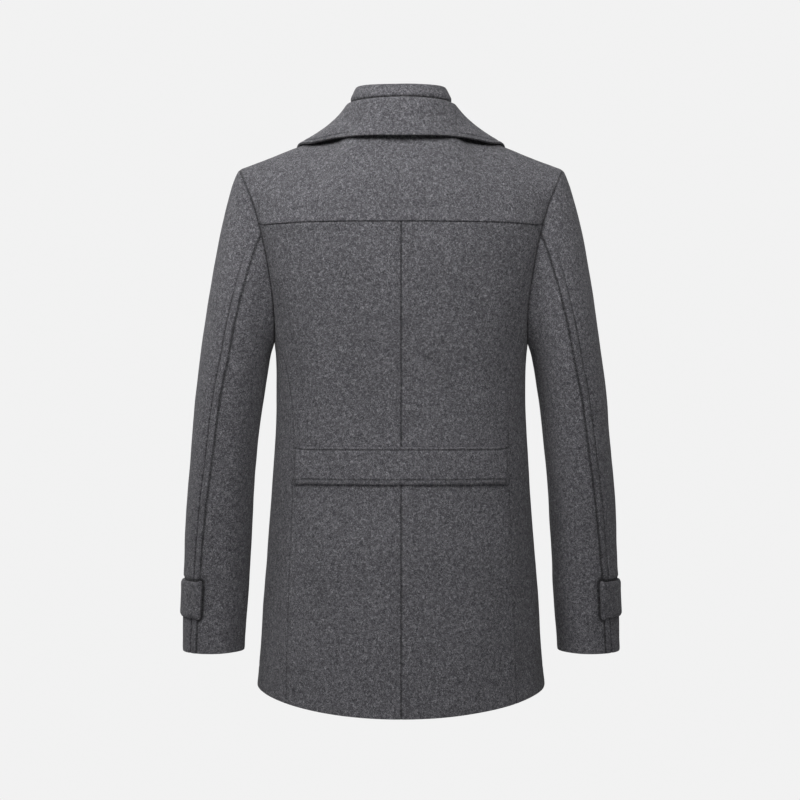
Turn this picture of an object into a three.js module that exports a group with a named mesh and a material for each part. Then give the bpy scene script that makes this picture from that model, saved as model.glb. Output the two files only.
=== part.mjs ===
// A mid-length wool winter coat, hollow, in the form that it has when it is worn.
// Millimetres. +Z is up, the front faces -Y, and +X is the wearer's left.
// The origin lies between the shoulders, where the wearer carries the coat.
import * as THREE from "three";

const { degToRad, lerp, clamp, smoothstep } = THREE.MathUtils;

// Cloth
const WALL = 2.4;
const DOUBLE_WALL = 3;
const BELT_WALL = 3.6;
const SEAM_GAP = 0.3;
const CLEAR = 0.4;
const KEYS_PER_MILLIMETRE = 50;
const GREY_WOOL = 0x5c5b60;
const DARK_HORN = 0x24211f;

// Heights of the cut
const HEM_Z = -737;
const HEM_DIP_BACK = 24;
const HEM_DIP_POWER = 1.5;
const HEM_DIP_FRONT = 8;
const DIP_STARTS_Z = -457;
const ARMHOLE_BASE_Z = -250;
const ARMHOLE_DIP = 16;
const YOKE_Z = -108;
const ELBOW_SEAM_Z = -118.5;
const BELT_BOTTOM_Z = -457;
const BELT_MIDDLE_Z = -432;
const BELT_TOP_Z = -407;

// Shoulder line, from its tip at the armhole to the neck
const SHOULDER_TIP = { x: 222, z: -28 };
const SHOULDER_SLOPE = 0.392;

// Body above the chest: how far it rises from that level, how far it rolls back from the shoulder line,
// and how much its armhole edge leans outwards
const CHEST_RISE = { atArmhole: 40, atCentre: 48 };
const ROLL_LENGTH = 34;
const EDGE_LEAN = 0.25;
const SHOULDER_ROLL = { back: 1, down: 0.1 };
const NECK_ROLL = { back: 0.5, down: 0.86 };

// Columns of the grids, on one side of the coat
const BACK_COLUMNS = 8;
const NECK_COLUMNS = 4;
const ARMHOLE_BOTTOM_COLUMNS = 4;
const LAP_COLUMNS = 1;
const LAP_STARTS_COLUMN = 7;
const UPPER_ROWS = 4;
const CAP_ROWS = 6;

// The closing edges lap by this much past the centre front, one over the other
const LAP_WIDTH = 26;
const LAP_LIFT = 3.4;

// Body, level by level: half its width, its depth behind and in front of the shoulder line,
// and how square the section is, where 2 is an ellipse. Above the armpit the width runs on under the sleeve.
const BODY = [
  { z: -737, half: 197.5, back: 150, front: 150, square: 2 },
  { z: -676, half: 193, back: 145, front: 146, square: 2.05 },
  { z: -607, half: 188.5, back: 138, front: 141, square: 2.12 },
  { z: -511, half: 181.2, back: 127, front: 135, square: 2.2 },
  { z: -455, half: 177, back: 120, front: 130, square: 2.25 },
  { z: -400, half: 173.4, back: 113, front: 126, square: 2.3 },
  { z: -345, half: 171.6, back: 110, front: 125, square: 2.3 },
  { z: -300, half: 172, back: 113, front: 128, square: 2.3 },
  { z: -266, half: 174, back: 116, front: 131, square: 2.3 },
  { z: -200, half: 186, back: 120, front: 135, square: 2.3 },
  { z: -150, half: 197, back: 121, front: 135, square: 2.3 },
  { z: -108, half: 206, back: 118, front: 131, square: 2.3 },
];

// Outer edge of a back panel: the side-back seam from the hem up, then the back of the armhole
const BACK_EDGE = [
  { z: -737, x: 153 },
  { z: -600, x: 150 },
  { z: -430, x: 144 },
  { z: -345, x: 147 },
  { z: -290, x: 158 },
  { z: -250, x: 171.7 },
  { z: -212, x: 172.9 },
  { z: -179, x: 177.6 },
  { z: -142, x: 183.4 },
  { z: -108, x: 191.5 },
];

// Front of the armhole, cut in further than the back
const FRONT_EDGE = [
  { z: -250, x: 173 },
  { z: -212, x: 167 },
  { z: -179, x: 166 },
  { z: -142, x: 171 },
  { z: -108, x: 180 },
];

// Levels of the rows, the same on every panel so that neighbours meet point to point
const SKIRT_ROWS = [
  -737, -700, -652, -604, -556, -506, BELT_BOTTOM_Z, BELT_MIDDLE_Z, BELT_TOP_Z, -372, -330, -288,
];
const ARMHOLE_ROWS = [ARMHOLE_BASE_Z, -215, -180, -148, ELBOW_SEAM_Z, YOKE_Z];

// Sleeve below its cap: outer and inner edge, centre and half depth front to back,
// and the angle of the elbow seam, where 0 is the outer side, 90 the back and 180 the side next to the body
const SLEEVE = [
  { z: -290, outer: 277.4, inner: 181, centre: -4, depth: 74, elbow: 86 },
  { z: -345, outer: 284, inner: 190, centre: -4, depth: 70, elbow: 81 },
  { z: -414, outer: 289.8, inner: 198.7, centre: -6, depth: 66, elbow: 78 },
  { z: -483, outer: 296.2, inner: 204, centre: -10, depth: 63, elbow: 73 },
  { z: -552, outer: 299.4, inner: 208.4, centre: -15, depth: 60, elbow: 68 },
  { z: -621, outer: 302.4, inner: 212.5, centre: -20, depth: 57, elbow: 65 },
  { z: -692, outer: 303.2, inner: 218, centre: -25, depth: 55, elbow: 62 },
];
const SLEEVE_ROWS = [-290, -320, -355, -395, -435, -475, -515, -555, -595, -645, -692];
const FOREARM_SEAM_ANGLE = 235;

// Sleeve cap: the way the cloth leaves the armhole, and how far each end of its curve pulls
const CAP = [
  { turn: 0, outward: 0.65, spread: 0, down: 0.76, leave: 30, arrive: 110 },
  { turn: 90, outward: 0.36, spread: 0.35, down: 0.87, leave: 40, arrive: 60 },
  { turn: 180, outward: 0.37, spread: 0, down: 0.93, leave: 6, arrive: 9 },
  { turn: 270, outward: 0.5, spread: 0.35, down: 0.8, leave: 40, arrive: 60 },
  { turn: 360, outward: 0.65, spread: 0, down: 0.76, leave: 30, arrive: 110 },
];

// Rings round the neck: half width, depth behind and in front, and height behind, beside and in front
const NECKLINE = { half: 78, back: 66, front: 72, zBack: 20, zSide: 28.5, zFront: -22 };
const FOLD = { half: 74, back: 71, front: 76, zBack: 62, zSide: 62, zFront: 10 };
const STAND_TOP = { half: 61.5, back: 58, front: 64, zBack: 82.5, zSide: 85.5, zFront: 34 };

// Lower edge of the turned-down collar, from the centre back round to its point,
// and how far the cloth above it hangs in from a straight line, or swells out where that is below zero
const FALL_EDGE = [
  { turn: 0, x: 0, y: 84.5, z: 9, sag: 1 },
  { turn: 25, x: 50, y: 76.5, z: 10, sag: 2 },
  { turn: 50, x: 94, y: 45, z: 10.5, sag: 5 },
  { turn: 70, x: 124, y: 30, z: 6.5, sag: 7 },
  { turn: 85, x: 140, y: 6, z: 8.4, sag: 7 },
  { turn: 100, x: 146, y: -25, z: -0.5, sag: 3 },
  { turn: 118, x: 142, y: -68, z: -28, sag: -4 },
  { turn: 138, x: 118, y: -108, z: -58, sag: -9 },
  { turn: 156, x: 80, y: -132, z: -84, sag: -10 },
  { turn: 170, x: 44, y: -144, z: -104, sag: -9 },
];
const COLLAR_ENDS_TURN = 170;
const COLLAR_COLUMNS = 14;
const FOLD_RADIUS = 4.5;
const STAND_CLEAR = 0.9;

// Where the stand collar leans out over the fold, as a share of its height above it, and by how much
const STAND_LEAN = { share: 0.45, back: 2.5, side: 3.5 };

// Over the lap in front, both collars rise
const COLLAR_FRONT_RISE = { from: 125, to: 158, height: 4.5 };

// How far the half belt reaches from the centre back towards the side-back seams, where 1 is the seam
const BELT_REACH = 0.985;

// Cuff tab: it starts behind the elbow seam and runs round the outer side
const TAB = { top: -593, middle: -618, bottom: -643, startsPastSeam: 7, endAngle: -66, pointLength: 9 };
const TAB_COLUMNS = 14;

// Buttons
const FRONT_BUTTON = { radius: 14, thickness: 4 };
const FRONT_BUTTON_LEVELS = [-135, -245, -355, -465];
const TAB_BUTTON = { radius: 9, thickness: 3, angle: -46 };
const BUTTON_SIDES = 24;
const BUTTON_RIM = 1.2;

// Values of a table's columns at any value of its key column, joined smoothly from row to row
function rowAt(table, key, value) {
  const rising = table[0][key] < table[table.length - 1][key];
  let i = 0;
  while (i < table.length - 2 && (rising ? value > table[i + 1][key] : value < table[i + 1][key])) i++;
  const a = table[i];
  const b = table[i + 1];
  const before = table[Math.max(i - 1, 0)];
  const after = table[Math.min(i + 2, table.length - 1)];
  const span = b[key] - a[key];
  const t = clamp((value - a[key]) / span, 0, 1);
  const row = {};
  for (const column of Object.keys(a)) {
    const leave = ((b[column] - before[column]) / (b[key] - before[key])) * span;
    const arrive = ((after[column] - a[column]) / (after[key] - a[key])) * span;
    const fromA = (1 + 2 * t) * (1 - t) ** 2 * a[column] + t * (1 - t) ** 2 * leave;
    const fromB = t * t * (3 - 2 * t) * b[column] + t * t * (t - 1) * arrive;
    row[column] = fromA + fromB;
  }
  return row;
}

function signedPower(value, power) {
  return Math.sign(value) * Math.abs(value) ** power;
}

function bezier(a, b, c, d, t) {
  const s = 1 - t;
  return new THREE.Vector3()
    .addScaledVector(a, s * s * s)
    .addScaledVector(b, 3 * s * s * t)
    .addScaledVector(c, 3 * s * t * t)
    .addScaledVector(d, t * t * t);
}

// Point of the body at an angle round it, where 0 is the centre back and 180 the centre front
function bodyPoint(angle, level) {
  const section = rowAt(BODY, "z", level);
  const power = 2 / section.square;
  const side = Math.sin(degToRad(angle));
  const rear = Math.cos(degToRad(angle));
  const depth = rear > 0 ? section.back : section.front;
  const dip = rear > 0 ? HEM_DIP_BACK * rear ** HEM_DIP_POWER : -HEM_DIP_FRONT * rear;
  const share = 1 - smoothstep(level, HEM_Z, DIP_STARTS_Z);
  return new THREE.Vector3(
    section.half * signedPower(side, power),
    depth * signedPower(rear, power),
    level - dip * share,
  );
}

// Angle round the body, from the nearer centre line, at which its surface is x from the middle
function angleOf(x, level) {
  const section = rowAt(BODY, "z", level);
  return THREE.MathUtils.radToDeg(Math.asin((x / section.half) ** (section.square / 2)));
}

function backEdgeAngle(level) {
  return angleOf(rowAt(BACK_EDGE, "z", level).x, level);
}

// The front's armhole edge, and below the armhole the straight line down from it
function frontEdgeAngle(level) {
  const onEdge = Math.max(level, ARMHOLE_BASE_Z);
  return 180 - angleOf(rowAt(FRONT_EDGE, "z", onEdge).x, onEdge);
}

function shoulderPoint(x) {
  return new THREE.Vector3(x, 0, SHOULDER_TIP.z + (SHOULDER_TIP.x - x) * SHOULDER_SLOPE);
}

// Point of a ring round the neck, where turn 0 is the centre back and 180 the centre front
function ringPoint(ring, turn) {
  const side = Math.sin(degToRad(turn));
  const rear = Math.cos(degToRad(turn));
  const depth = rear > 0 ? ring.back : ring.front;
  const end = rear > 0 ? ring.zBack : ring.zFront;
  return new THREE.Vector3(ring.half * side, depth * rear, lerp(ring.zSide, end, rear * rear));
}

// Top edge of the yoke or a front, where share 0 is the shoulder tip and 1 the centre of the neckline
function topEdge(share, isFront) {
  const column = share * BACK_COLUMNS;
  const shoulderColumns = BACK_COLUMNS - NECK_COLUMNS;
  if (column <= shoulderColumns) {
    return shoulderPoint(lerp(SHOULDER_TIP.x, NECKLINE.half, column / shoulderColumns));
  }
  const turn = (90 * (BACK_COLUMNS - column)) / NECK_COLUMNS;
  return ringPoint(NECKLINE, isFront ? 180 - turn : turn);
}

// Body above the chest: it rises from that level and rolls over to the shoulder line or the neckline
function upperPoint(share, height, isFront) {
  const edge = isFront ? frontEdgeAngle(YOKE_Z) : backEdgeAngle(YOKE_Z);
  const start = bodyPoint(isFront ? lerp(edge, 180, share) : lerp(edge, 0, share), YOKE_Z);
  const end = topEdge(share, isFront);
  const facing = isFront ? -1 : 1;
  const nearNeck = smoothstep(share, 1 - NECK_COLUMNS / BACK_COLUMNS, 1);
  const rise = new THREE.Vector3(EDGE_LEAN * (1 - share) ** 2 * Math.sign(start.x || 1), 0, 1);
  const rollBack = lerp(SHOULDER_ROLL.back, NECK_ROLL.back, nearNeck) * facing;
  const roll = new THREE.Vector3(0, rollBack, -lerp(SHOULDER_ROLL.down, NECK_ROLL.down, nearNeck));
  const second = start.clone().addScaledVector(rise, lerp(CHEST_RISE.atArmhole, CHEST_RISE.atCentre, share));
  const third = end.clone().addScaledVector(roll, ROLL_LENGTH);
  return bezier(start, second, third, end, height);
}

// A sheet of cloth as a grid of points and of the cells between them. A cell's corners turn so that
// its outer side is seen when rows rise and columns run towards +X behind the coat.
function sheet(rows, columns, pointAt, isCut = () => false) {
  const points = [];
  const cells = [];
  const index = (r, c) => r * (columns + 1) + c;
  for (let r = 0; r <= rows; r++) {
    for (let c = 0; c <= columns; c++) points.push(pointAt(r, c));
  }
  for (let r = 0; r < rows; r++) {
    for (let c = 0; c < columns; c++) {
      if (!isCut(r, c)) cells.push([index(r, c), index(r + 1, c), index(r + 1, c + 1), index(r, c + 1)]);
    }
  }
  return { points, cells };
}

function mirrored({ points, cells }) {
  return {
    points: points.map((p) => new THREE.Vector3(-p.x, p.y, p.z)),
    cells: cells.map(([a, b, c, d]) => [a, d, c, b]),
  };
}

// Name of a place, the same for points that lie together
const keyOf = (p) => [p.x, p.y, p.z].map((v) => Math.round(v * KEYS_PER_MILLIMETRE)).join();

function cellNormal(points, [a, b, c, d]) {
  const across = points[c].clone().sub(points[a]);
  return across.cross(points[d].clone().sub(points[b])).normalize();
}

// Normals at the points of sheets that meet, shared so that both sides of a seam have parallel edges
function sharedNormals(sheets) {
  const normals = new Map();
  for (const { points, cells } of sheets) {
    for (const cell of cells) {
      const normal = cellNormal(points, cell);
      for (const i of cell) {
        const key = keyOf(points[i]);
        if (!normals.has(key)) normals.set(key, new THREE.Vector3());
        normals.get(key).add(normal);
      }
    }
  }
  for (const normal of normals.values()) normal.normalize();
  return normals;
}

// The edges that only one cell has, each with the direction from it into that cell
function borderOf({ points, cells }) {
  const edges = new Map();
  for (const cell of cells) {
    const normal = cellNormal(points, cell);
    cell.forEach((from, i) => {
      const to = cell[(i + 1) % cell.length];
      const inward = normal.clone().cross(points[to].clone().sub(points[from])).normalize();
      if (!edges.delete(`${to},${from}`)) edges.set(`${from},${to}`, { from, to, inward });
    });
  }
  return [...edges.values()];
}

// Outer points with the border drawn in by half the seam gap, square to the wall's edge
function drawnIn(cloth, border, normals) {
  const outer = cloth.points.map((p) => p.clone());
  const inwards = new Map();
  for (const { from, to, inward } of border) {
    for (const i of [from, to]) {
      const normal = normals.get(keyOf(cloth.points[i]));
      const square = inward.clone().addScaledVector(normal, -inward.dot(normal)).normalize();
      inwards.set(i, [...(inwards.get(i) || []), square]);
    }
  }
  for (const [i, [first, second]] of inwards) {
    const shift = first.clone().add(second).multiplyScalar(SEAM_GAP / 2 / (1 + first.dot(second)));
    outer[i].add(shift);
  }
  return outer;
}

// A closed solid of one sheet with its wall inside it
function clothGeometry(cloth, wall, normals = sharedNormals([cloth])) {
  const border = borderOf(cloth);
  const outer = drawnIn(cloth, border, normals);
  const inner = outer.map((p, i) => {
    const normal = normals.get(keyOf(cloth.points[i]));
    return normal ? p.clone().addScaledVector(normal, -wall) : p.clone();
  });
  const corners = [];
  const quad = (a, b, c, d) => corners.push(a, b, c, a, c, d);
  for (const [a, b, c, d] of cloth.cells) {
    quad(outer[a], outer[b], outer[c], outer[d]);
    corners.push(inner[a], inner[c], inner[b], inner[a], inner[d], inner[c]);
  }
  for (const { from, to } of border) {
    const runsUp = keyOf(cloth.points[from]) < keyOf(cloth.points[to]);
    if (runsUp) quad(outer[to], outer[from], inner[from], inner[to]);
    else quad(outer[from], inner[from], inner[to], outer[to]);
  }
  return new THREE.BufferGeometry().setFromPoints(corners);
}

// A sheet moved out along its own normals
function movedOut(cloth, distance) {
  const normals = sharedNormals([cloth]);
  const points = cloth.points.map((p) => p.clone().addScaledVector(normals.get(keyOf(p)), distance));
  return { points, cells: cloth.cells };
}

// Back panel, from the centre back to the side-back seam and the back of the armhole
function backPanel() {
  const levels = [...SKIRT_ROWS, ...ARMHOLE_ROWS];
  return sheet(levels.length - 1, BACK_COLUMNS, (r, c) =>
    bodyPoint((backEdgeAngle(levels[r]) * c) / BACK_COLUMNS, levels[r]),
  );
}

// Yoke over both shoulders, from the yoke seam to the shoulder lines and the neckline
function yoke() {
  return sheet(UPPER_ROWS, 2 * BACK_COLUMNS, (r, c) => {
    const fromCentre = c - BACK_COLUMNS;
    const point = upperPoint(1 - Math.abs(fromCentre) / BACK_COLUMNS, r / UPPER_ROWS, false);
    return new THREE.Vector3(Math.sign(fromCentre) * Math.abs(point.x), point.y, point.z);
  });
}

// Front panel, from the side-back seam under the arm and over the chest to the lap at the centre front
function frontPanel() {
  const lower = [...SKIRT_ROWS, ...ARMHOLE_ROWS];
  const rows = lower.length - 1 + UPPER_ROWS;
  const columns = ARMHOLE_BOTTOM_COLUMNS + BACK_COLUMNS + LAP_COLUMNS;
  const baseRow = SKIRT_ROWS.length;
  const pointAt = (r, c) => {
    const level = lower[Math.min(r, lower.length - 1)];
    const step = c - ARMHOLE_BOTTOM_COLUMNS;
    const share = step / BACK_COLUMNS;
    const height = (r - lower.length + 1) / UPPER_ROWS;
    if (step < 0) return underArmPoint(level, c / ARMHOLE_BOTTOM_COLUMNS);
    if (share > 1 && height > 0) return upperLapPoint(height);
    if (share > 1) return bodyPoint(180 + angleOf(LAP_WIDTH, level), level);
    if (height > 0) return upperPoint(share, height, true);
    return bodyPoint(lerp(frontEdgeAngle(level), 180, share), level);
  };
  return sheet(rows, columns, pointAt, (r, c) => r >= baseRow && c < ARMHOLE_BOTTOM_COLUMNS);
}

// Stretch of a front below the arm: its rows sink towards the bottom of the armhole
function underArmPoint(level, share) {
  const angle = lerp(backEdgeAngle(level), frontEdgeAngle(level), share);
  const sink = ARMHOLE_DIP * Math.sin(Math.PI * share) * smoothstep(level, SKIRT_ROWS.at(-2), ARMHOLE_BASE_Z);
  return bodyPoint(angle, level - sink);
}

// Edge of a front past the centre and above the chest, on the other front's surface
function upperLapPoint(height) {
  const lastColumn = upperPoint(1 - 1 / BACK_COLUMNS, height, true);
  const share = 1 - LAP_WIDTH / lastColumn.x / BACK_COLUMNS;
  return upperPoint(share, height, true).setX(-LAP_WIDTH);
}

// The front with its lap lifted off, to lie over the other front
function withLapLifted(front) {
  const normals = sharedNormals([front]);
  const width = ARMHOLE_BOTTOM_COLUMNS + BACK_COLUMNS + LAP_COLUMNS + 1;
  const points = front.points.map((p, i) => {
    const isLap = (i % width) - ARMHOLE_BOTTOM_COLUMNS >= LAP_STARTS_COLUMN;
    return isLap ? p.clone().addScaledVector(normals.get(keyOf(p)), LAP_LIFT) : p;
  });
  return { points, cells: front.cells };
}

// The armhole's points in order, from the shoulder tip down behind, under the arm and up in front
function armholeLoop(back, front, yokeSheet) {
  const rowsUp = ARMHOLE_ROWS.length - 1;
  const base = SKIRT_ROWS.length;
  const backWidth = BACK_COLUMNS + 1;
  const frontWidth = ARMHOLE_BOTTOM_COLUMNS + BACK_COLUMNS + LAP_COLUMNS + 1;
  const yokeWidth = 2 * BACK_COLUMNS + 1;
  const loop = [];
  for (let r = UPPER_ROWS; r > 0; r--) loop.push(yokeSheet.points[(r + 1) * yokeWidth - 1]);
  for (let r = base + rowsUp; r > base; r--) loop.push(back.points[r * backWidth + BACK_COLUMNS]);
  for (let c = 0; c < ARMHOLE_BOTTOM_COLUMNS; c++) loop.push(front.points[base * frontWidth + c]);
  for (let r = base; r <= base + rowsUp + UPPER_ROWS; r++) {
    loop.push(front.points[r * frontWidth + ARMHOLE_BOTTOM_COLUMNS]);
  }
  return loop;
}

// Stations of the armhole at which the sleeve's two seams and the bottom of the arm lie
const ELBOW_STATION = UPPER_ROWS + 1;
const BOTTOM_STATION = UPPER_ROWS + ARMHOLE_ROWS.length - 1 + ARMHOLE_BOTTOM_COLUMNS / 2;
const FOREARM_STATION = BOTTOM_STATION + ARMHOLE_BOTTOM_COLUMNS / 2 + 1;

// Angle of each station round a level of the sleeve, spread between its seams by the armhole's lengths
function stationAngles(loop, elbowAngle) {
  const lengths = [0];
  for (let i = 1; i < loop.length; i++) lengths.push(lengths[i - 1] + loop[i].distanceTo(loop[i - 1]));
  const anchors = [
    { station: 0, angle: 0 },
    { station: ELBOW_STATION, angle: elbowAngle },
    { station: BOTTOM_STATION, angle: 180 },
    { station: FOREARM_STATION, angle: FOREARM_SEAM_ANGLE },
    { station: loop.length - 1, angle: 360 },
  ];
  return loop.map((_, i) => {
    const next = Math.max(1, anchors.findIndex(({ station }) => station >= i));
    const from = anchors[next - 1];
    const to = anchors[next];
    const share = (lengths[i] - lengths[from.station]) / (lengths[to.station] - lengths[from.station]);
    return lerp(from.angle, to.angle, share);
  });
}

// Point of the sleeve at an angle round one of its levels
function sleevePoint(angle, level) {
  const section = rowAt(SLEEVE, "z", level);
  const middle = (section.outer + section.inner) / 2;
  const half = (section.outer - section.inner) / 2;
  const x = middle + half * Math.cos(degToRad(angle));
  return new THREE.Vector3(x, section.centre + section.depth * Math.sin(degToRad(angle)), level);
}

// Cap of the sleeve: curves from the armhole out and down to the sleeve's first level
function capPoint(start, angle, share) {
  const end = sleevePoint(angle, SLEEVE_ROWS[0]);
  const quarter = CAP.findIndex(({ turn }) => turn >= Math.max(angle, 1));
  const a = CAP[quarter - 1];
  const b = CAP[quarter];
  const blend = smoothstep(angle, a.turn, b.turn);
  const value = (column) => lerp(a[column], b[column], blend);
  const alongY = value("spread") * Math.sin(degToRad(angle));
  const away = new THREE.Vector3(value("outward"), alongY, -value("down")).normalize();
  const second = start.clone().addScaledVector(away, value("leave"));
  const below = sleevePoint(angle, SLEEVE_ROWS[1]);
  const upward = end.clone().sub(below).normalize();
  const third = end.clone().addScaledVector(upward, value("arrive"));
  return bezier(start, second, third, end, share);
}

// A run of the sleeve's columns, from one station of the armhole to another
function sleevePanel(loop, firstStation, lastStation) {
  const stations = loop.length - 1;
  const rows = CAP_ROWS + SLEEVE_ROWS.length - 1;
  const top = stationAngles(loop, SLEEVE[0].elbow);
  return sheet(rows, lastStation - firstStation, (r, c) => {
    const station = (firstStation + c) % stations;
    if (r < CAP_ROWS) return capPoint(loop[station], top[station], r / CAP_ROWS);
    const level = SLEEVE_ROWS[r - CAP_ROWS];
    return sleevePoint(stationAngles(loop, rowAt(SLEEVE, "z", level).elbow)[station], level);
  });
}

// Line on which both collars stand, raised in front to pass over the lap
function collarSeamPoint(turn) {
  const point = ringPoint(NECKLINE, turn);
  const { from, to, height } = COLLAR_FRONT_RISE;
  return point.setZ(point.z + CLEAR + height * smoothstep(turn, from, to));
}

// Turned-down collar: up its stand inside, over the fold, and down and out to its lower edge
function foldedCollar() {
  const columns = 2 * COLLAR_COLUMNS;
  const profile = 8;
  return sheet(profile, columns, (r, c) => {
    const turn = (Math.abs(c - COLLAR_COLUMNS) / COLLAR_COLUMNS) * COLLAR_ENDS_TURN;
    const side = Math.sign(c - COLLAR_COLUMNS) || 1;
    const seam = collarSeamPoint(turn);
    const fold = ringPoint(FOLD, turn);
    const out = new THREE.Vector3(fold.x, fold.y, 0).normalize();
    const edgeRow = rowAt(FALL_EDGE, "turn", turn);
    const edge = new THREE.Vector3(edgeRow.x, edgeRow.y, edgeRow.z);
    const standTop = fold.clone().addScaledVector(out, -FOLD_RADIUS).setZ(fold.z - FOLD_RADIUS);
    const fallTop = fold.clone().addScaledVector(out, FOLD_RADIUS).setZ(fold.z - FOLD_RADIUS);
    const line = [
      edge,
      sagged(fallTop, edge, 2 / 3, edgeRow.sag),
      sagged(fallTop, edge, 1 / 3, edgeRow.sag),
      fallTop,
      fold,
      standTop,
      lerpPoint(standTop, seam, 1 / 3),
      lerpPoint(standTop, seam, 2 / 3),
      seam,
    ];
    return new THREE.Vector3(line[r].x * side, line[r].y, line[r].z);
  });
}

function lerpPoint(from, to, share) {
  return from.clone().lerp(to, share);
}

// Point between the fold and the lower edge, hung in from the straight line by up to the sag
function sagged(fallTop, edge, share, sag) {
  const point = lerpPoint(fallTop, edge, share);
  const inward = new THREE.Vector3(-point.x, -point.y, 0).normalize();
  return point.addScaledVector(inward, sag * Math.sin(Math.PI * share));
}

// Stand collar inside the folded one, rising above its fold
function standCollar() {
  const columns = 2 * COLLAR_COLUMNS;
  return sheet(4, columns, (r, c) => {
    const turn = (Math.abs(c - COLLAR_COLUMNS) / COLLAR_COLUMNS) * COLLAR_ENDS_TURN;
    const side = Math.sign(c - COLLAR_COLUMNS) || 1;
    const seam = collarSeamPoint(turn);
    const fold = ringPoint(FOLD, turn);
    const inward = new THREE.Vector3(-fold.x, -fold.y, 0).normalize();
    const base = seam.clone().addScaledVector(inward, STAND_CLEAR);
    base.z += CLEAR;
    const middle = fold.clone().addScaledVector(inward, FOLD_RADIUS + STAND_CLEAR);
    middle.z -= FOLD_RADIUS;
    const top = ringPoint(STAND_TOP, turn);
    const sideways = Math.sin(degToRad(turn)) ** 2;
    const leaning = lerpPoint(middle, top, STAND_LEAN.share);
    leaning.addScaledVector(inward, -lerp(STAND_LEAN.back, STAND_LEAN.side, sideways));
    const line = [base, lerpPoint(base, middle, 1 / 2), middle, leaning, top];
    return new THREE.Vector3(line[r].x * side, line[r].y, line[r].z);
  });
}

// Half belt across the back, lying on the back panels' own points
function halfBelt() {
  const levels = [BELT_BOTTOM_Z, BELT_MIDDLE_Z, BELT_TOP_Z];
  const onPanel = sheet(levels.length - 1, 2 * BACK_COLUMNS, (r, c) => {
    const step = c - BACK_COLUMNS;
    const share = Math.min(Math.abs(step) / BACK_COLUMNS, BELT_REACH);
    const point = bodyPoint(backEdgeAngle(levels[r]) * share, levels[r]);
    return point.setX(Math.sign(step) * Math.abs(point.x));
  });
  return movedOut(onPanel, CLEAR + BELT_WALL);
}

// Cuff tab on the sleeve's own points, with a pointed end
function cuffTab() {
  const levels = [TAB.bottom, TAB.middle, TAB.top];
  const onSleeve = sheet(levels.length - 1, TAB_COLUMNS, (r, c) => {
    const level = levels[r];
    const section = rowAt(SLEEVE, "z", level);
    const start = section.elbow + TAB.startsPastSeam;
    const point = THREE.MathUtils.radToDeg(TAB.pointLength / section.depth);
    const isShoulder = c === TAB_COLUMNS && level !== TAB.middle;
    return sleevePoint(lerp(start, TAB.endAngle, c / TAB_COLUMNS) + (isShoulder ? point : 0), level);
  });
  return movedOut(onSleeve, CLEAR + DOUBLE_WALL);
}

function material(name, color, roughness) {
  return new THREE.MeshStandardMaterial({ name, color, roughness, metalness: 0 });
}

const wool = () => material("grey_wool", GREY_WOOL, 0.95);
const horn = () => material("dark_horn", DARK_HORN, 0.45);

// A round button with a softened rim, its axis along the cloth's normal at a point
function buttonMesh(name, { radius, thickness }, point, normal) {
  const profile = [
    new THREE.Vector2(0, 0),
    new THREE.Vector2(radius - BUTTON_RIM, 0),
    new THREE.Vector2(radius, BUTTON_RIM),
    new THREE.Vector2(radius, thickness - BUTTON_RIM),
    new THREE.Vector2(radius - BUTTON_RIM, thickness),
    new THREE.Vector2(0, thickness),
  ];
  const mesh = new THREE.Mesh(new THREE.LatheGeometry(profile, BUTTON_SIDES), horn());
  mesh.name = name;
  mesh.quaternion.setFromUnitVectors(new THREE.Vector3(0, 1, 0), normal);
  mesh.position.copy(point).addScaledVector(normal, CLEAR);
  return mesh;
}

function clothMesh(name, geometry) {
  const mesh = new THREE.Mesh(geometry, wool());
  mesh.name = name;
  return mesh;
}

// Buttons down the centre front, on the lap of the left front
function frontButtons() {
  return FRONT_BUTTON_LEVELS.map((level, i) => {
    const point = bodyPoint(180, level);
    const up = bodyPoint(180, level + FRONT_BUTTON.radius).sub(point);
    const normal = up.cross(new THREE.Vector3(-1, 0, 0)).normalize();
    point.addScaledVector(normal, LAP_LIFT + CLEAR);
    return buttonMesh(`front_button_${i + 1}`, FRONT_BUTTON, point, normal);
  });
}

// Button on the pointed end of a cuff tab
function tabButton(side) {
  const point = sleevePoint(TAB_BUTTON.angle, TAB.middle);
  const ahead = sleevePoint(TAB_BUTTON.angle + 1, TAB.middle);
  const normal = ahead.sub(point).cross(new THREE.Vector3(0, 0, 1)).normalize();
  point.addScaledVector(normal, CLEAR + DOUBLE_WALL);
  const name = side > 0 ? "tab_button_left" : "tab_button_right";
  point.x *= side;
  normal.x *= side;
  return buttonMesh(name, TAB_BUTTON, point, normal);
}

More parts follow.
